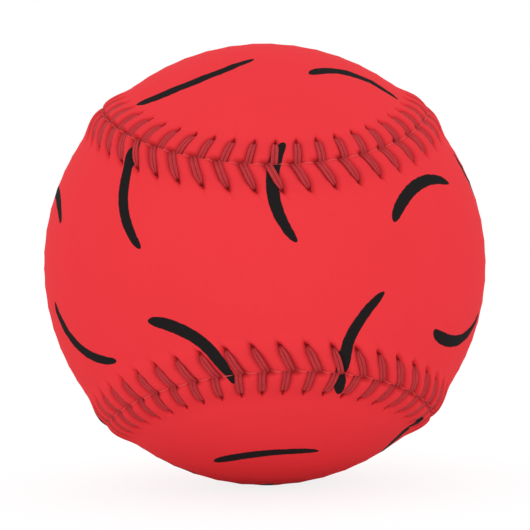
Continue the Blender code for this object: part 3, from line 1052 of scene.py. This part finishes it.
# Cork: its flecks to the metre, the shares of the grain's tone and of the flecks, and the dark gaps.
CORK_FLECKS = 1800.0
CORK_TONE_SHARE = 0.6
CORK_FLECK_SHARE = 0.5
CORK_TONES = (0.55, 1.4)
CORK_GAP_SPAN = (0.0, 0.6)
CORK_GAP_SHARE = 0.6
CORK_GAP_TONE = 0.2


def make_cork(colours):
    """Pressed cork: grains of different tones with dark gaps."""
    graph = new_finish("pressed cork")
    fleck = graph.noise(graph.position(), CORK_FLECKS, detail=3.0)
    tone = graph.attribute("tone") * CORK_TONE_SHARE + fleck * CORK_FLECK_SHARE
    grain = graph.toned(tone, colours.cork, CORK_TONES)
    gap = graph.map_range(graph.attribute("grain"), CORK_GAP_SPAN, (CORK_GAP_SHARE, 0.0))
    return graph.finish(Base_Color=graph.mix(gap, grain, tinted(colours.cork, CORK_GAP_TONE)), Roughness=0.9,
                        Normal=graph.bump(fleck, strength=0.5, distance=0.0002))


# Yarn: its fibres to the metre and their tones, and the painted shade in the grooves between its turns.
YARN_FIBRES = 3000.0
YARN_TONES = (0.75, 1.15)
GROOVE_SPAN = (0.0, 0.7)
GROOVE_DARKNESS = 0.7
GROOVE_TONE = 0.3


def make_yarn(name, rgb):
    """Spun yarn: flecks of fibre, with painted shade in the grooves between the turns."""
    graph = new_finish(name)
    fibre = graph.noise(graph.position(), YARN_FIBRES, detail=4.0)
    light = graph.toned(graph.map_range(fibre, NOISE_SPAN), rgb, YARN_TONES)
    groove = graph.map_range(graph.attribute("crest"), GROOVE_SPAN, (GROOVE_DARKNESS, 0.0))
    return graph.finish(Base_Color=graph.mix(groove, light, tinted(rgb, GROOVE_TONE)), Roughness=0.95,
                        Normal=graph.bump(fibre, strength=0.6, distance=0.0002))


class BASEBALL_OT_centre(bpy.types.Operator):
    """Build the cork ball, the rubber cups and the gasket ring between the inner cups"""

    bl_idname = "baseball.centre"
    bl_label = "Cork and rubber centre"

    def execute(self, context):
        sizes, colours = context.scene.baseball_sizes, context.scene.baseball_colours
        black = make_rubber("black rubber", colours.black_rubber, BLACK_CONTRAST)
        red = make_rubber("red rubber", colours.red_rubber, RED_CONTRAST)
        core = layer_radius("cork_core")
        add_piece("pressed_cork_ball", *cork_surface(core), make_cork(colours), "cork_core", "cork")
        inside = core
        for layer, rubber, slot in (("inner", black, "black_rubber"), ("outer", red, "red_rubber")):
            outside = layer_radius(f"{layer}_rubber_cup_back")
            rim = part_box(f"{layer}_rubber_cup_back")[0].y
            for half, side in (("front", -1), ("back", 1)):
                cup = cup_surface(inside + sizes.layer_room, outside, rim, side)
                add_piece(f"{layer}_cup_{half}", *cup, rubber, f"{layer}_rubber_cup_{half}", slot)
            inside = outside
        ring = ring_surface(core + sizes.layer_room, layer_radius("inner_rubber_cup_back"),
                            layer_radius("rubber_gasket"))
        add_piece("gasket_ring", *ring, red, "rubber_gasket", "red_rubber")
        return {"FINISHED"}


class BASEBALL_OT_windings(bpy.types.Operator):
    """Build the four windings of yarn, one over the other"""

    bl_idname = "baseball.windings"
    bl_label = "Yarn windings"

    def execute(self, context):
        sizes, colours = context.scene.baseball_sizes, context.scene.baseball_colours
        grey = make_yarn("grey wool", colours.grey_wool)
        white = make_yarn("white wool", colours.white_wool)
        cotton = make_yarn("white cotton", colours.white_cotton)
        layers = (("first_wool_winding", sizes.thick_yarn, grey, "grey_wool"),
                  ("second_wool_winding", sizes.thin_yarn, white, "white_wool"),
                  ("third_wool_winding", sizes.thin_yarn, grey, "grey_wool"),
                  ("finishing_winding", sizes.finishing_yarn, cotton, "white_cotton"))
        inside = layer_radius("outer_rubber_cup_back")
        for seed, (node, width, yarn, slot) in enumerate(layers):
            outside = layer_radius(node)
            shell = winding_surface(inside + sizes.layer_room, outside, width, seed)
            add_piece(node.replace("winding", "yarn"), *shell, yarn, node, slot)
            inside = outside
        return {"FINISHED"}


class BASEBALL_OT_cover(bpy.types.Operator):
    """Build the two figure-eight panels of the cover"""

    bl_idname = "baseball.cover"
    bl_label = "Cover panels"

    def execute(self, context):
        sizes, colours = context.scene.baseball_sizes, context.scene.baseball_colours
        leather = make_leather(sizes, colours)
        seam = Seam(sizes)
        lacing = Lacing(seam, sizes)
        for side, node in ((FRONT, "cover_panel_front"), (BACK, "cover_panel_back")):
            panel = panel_surface(seam, lacing, side, sizes)
            add_piece(node.replace("cover", "leather"), *panel, leather, node, "cover_leather")
        return {"FINISHED"}


class BASEBALL_OT_thread(bpy.types.Operator):
    """Build the doubled thread that laces the panels together"""

    bl_idname = "baseball.thread"
    bl_label = "Seam thread"

    def execute(self, context):
        sizes, colours = context.scene.baseball_sizes, context.scene.baseball_colours
        seam = Seam(sizes)
        thread = thread_surface(seam, Lacing(seam, sizes), sizes)
        add_piece("lacing_thread", *thread, make_waxed_thread(colours), "seam_thread", "seam_thread")
        return {"FINISHED"}


# The white background and the floor.
SEEN_WHITE = 1.0  # strength at which the background is seen as white
FLOOR_HALF = 3.0  # half the floor's width
FLOOR_PAINT = 0.95  # its own pale colour, which lights the ball from below
FLOOR_GLOW = 0.84  # its glow where it is seen
FLOOR_SHADE = 0.19  # its colour under that glow, which takes the shadow

# The front light and the camera.
KEY_WIDTH = 0.9
KEY_PLACE = (-0.15, -1.1, 0.05)
SENSOR_WIDTH = 36.0  # in millimetres
CLIP_SHARE = 0.05  # nearest distance that is seen, as a share of that to the ball


def seen_directly(graph):
    """1 for rays of the camera, of reflections and of glass, which see the white background."""
    rays = graph.node("ShaderNodeLightPath").outputs
    kinds = ("Is Camera Ray", "Is Glossy Ray", "Is Transmission Ray")
    return graph.highest(*(Result(graph, rays[kind]) for kind in kinds))


def light_world(studio):
    """Even light from all round, white where it is seen."""
    world = bpy.data.worlds.new("white studio")
    graph = Graph(world)
    graph.nodes.clear()
    light, white = [graph.result("ShaderNodeBackground", {"Color": tinted(WHITE), "Strength": strength})
                    for strength in (studio.sky_light, SEEN_WHITE)]
    mixed = graph.result("ShaderNodeMixShader", {"Fac": seen_directly(graph), 1: light, 2: white})
    graph.node("ShaderNodeOutputWorld", {"Surface": mixed})
    bpy.context.scene.world = world


def make_floor_paint():
    """Pale paint that is lifted to white where it is seen, and still shows a shadow."""
    graph = new_finish("pale floor paint")
    graph.finish(Base_Color=tinted(WHITE, FLOOR_PAINT), Roughness=0.9, Specular_IOR_Level=0.0)
    paint = Result(graph, graph.nodes["Principled BSDF"].outputs["BSDF"])
    shade = graph.result("ShaderNodeBsdfDiffuse", {"Color": tinted(WHITE, FLOOR_SHADE)})
    glow = graph.result("ShaderNodeEmission", {"Strength": FLOOR_GLOW})
    lifted = graph.result("ShaderNodeAddShader", {0: shade, 1: glow})
    mixed = graph.result("ShaderNodeMixShader", {"Fac": seen_directly(graph), 1: paint, 2: lifted})
    graph.put(graph.nodes["Material Output"].inputs["Surface"], mixed)
    return graph.owner


def add_floor(sizes):
    """A square floor that the ball rests on."""
    corners = np.array([[-1, -1, 0], [1, -1, 0], [1, 1, 0], [-1, 1, 0]], float) * FLOOR_HALF
    corners[:, 2] = -sizes.ball_radius
    mesh = bpy.data.meshes.new("studio_floor")
    mesh.from_pydata(corners.tolist(), [], [(0, 1, 2, 3)])
    mesh.materials.append(make_floor_paint())
    floor = bpy.data.objects.new("studio_floor", mesh)
    bpy.context.scene.collection.objects.link(floor)


def add_front_light(studio):
    """A large square light that faces the ball."""
    light = bpy.data.lights.new("key", "AREA")
    light.energy = studio.key_power
    light.size = KEY_WIDTH
    lamp = bpy.data.objects.new("key", light)
    lamp.location = KEY_PLACE
    lamp.rotation_euler = (-Vector(KEY_PLACE)).to_track_quat("-Z", "Y").to_euler()
    bpy.context.scene.collection.objects.link(lamp)


def add_camera(studio, sizes):
    """A camera that shows the ball at the wanted size and turn."""
    data = bpy.data.cameras.new("camera")
    camera = bpy.data.objects.new("camera", data)
    turn = (Matrix.Rotation(studio.camera_turn, 4, "Z") @ Matrix.Rotation(-studio.camera_rise, 4, "X")
            @ Matrix.Rotation(studio.camera_roll, 4, "Y"))
    upright = Matrix.Rotation(math.pi / 2, 4, "X")
    camera.matrix_world = turn @ Matrix.Translation((0.0, -studio.camera_distance, 0.0)) @ upright
    away = studio.camera_distance / sizes.ball_radius
    pixels = studio.ball_in_view * math.sqrt(away ** 2 - 1)
    data.sensor_width = SENSOR_WIDTH
    data.lens = SENSOR_WIDTH * pixels / PHOTO_WIDTH
    data.shift_x = studio.shift_right / PHOTO_WIDTH
    data.shift_y = -studio.shift_down / PHOTO_WIDTH
    data.clip_start = studio.camera_distance * CLIP_SHARE
    bpy.context.scene.collection.objects.link(camera)
    bpy.context.scene.camera = camera


class BASEBALL_OT_stage(bpy.types.Operator):
    """Set up the floor, the light and the camera"""

    bl_idname = "baseball.stage"
    bl_label = "Studio"

    def execute(self, context):
        scene = context.scene
        studio, sizes = scene.baseball_studio, scene.baseball_sizes
        light_world(studio)
        add_floor(sizes)
        add_front_light(studio)
        add_camera(studio, sizes)
        scene.view_settings.view_transform = "Standard"
        return {"FINISHED"}


OPERATORS = (BASEBALL_OT_centre, BASEBALL_OT_windings, BASEBALL_OT_cover, BASEBALL_OT_thread,
             BASEBALL_OT_stage)


class BASEBALL_PT_sidebar(bpy.types.Panel):
    """Lists the baseball's sizes, colours and steps in the sidebar"""

    bl_idname = "BASEBALL_PT_sidebar"
    bl_label = "Baseball"
    bl_space_type = "VIEW_3D"
    bl_region_type = "UI"
    bl_category = "Baseball"

    def draw(self, context):
        layout = self.layout
        for group in (context.scene.baseball_sizes, context.scene.baseball_colours,
                      context.scene.baseball_studio):
            box = layout.box()
            for key in group.__annotations__:
                box.prop(group, key)
        for operator in OPERATORS:
            layout.operator(operator.bl_idname)


GROUPS = {"baseball_sizes": BaseballSizes, "baseball_colours": BaseballColours,
          "baseball_studio": BaseballStudio}


def register():
    """Adds the properties, the operators and the sidebar."""
    for group in GROUPS.values():
        bpy.utils.register_class(group)
    for key, group in GROUPS.items():
        setattr(bpy.types.Scene, key, PointerProperty(type=group))
    for operator in OPERATORS:
        bpy.utils.register_class(operator)
    bpy.utils.register_class(BASEBALL_PT_sidebar)


def unregister():
    """Takes them away again, in the other order."""
    bpy.utils.unregister_class(BASEBALL_PT_sidebar)
    for operator in reversed(OPERATORS):
        bpy.utils.unregister_class(operator)
    for key in GROUPS:
        delattr(bpy.types.Scene, key)
    for group in reversed(GROUPS.values()):
        bpy.utils.unregister_class(group)


def main():
    """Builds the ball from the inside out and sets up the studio."""
    register()
    bpy.ops.baseball.centre()
    bpy.ops.baseball.windings()
    bpy.ops.baseball.cover()
    bpy.ops.baseball.thread()
    bpy.ops.baseball.stage()


if __name__ == "__main__":
    main()
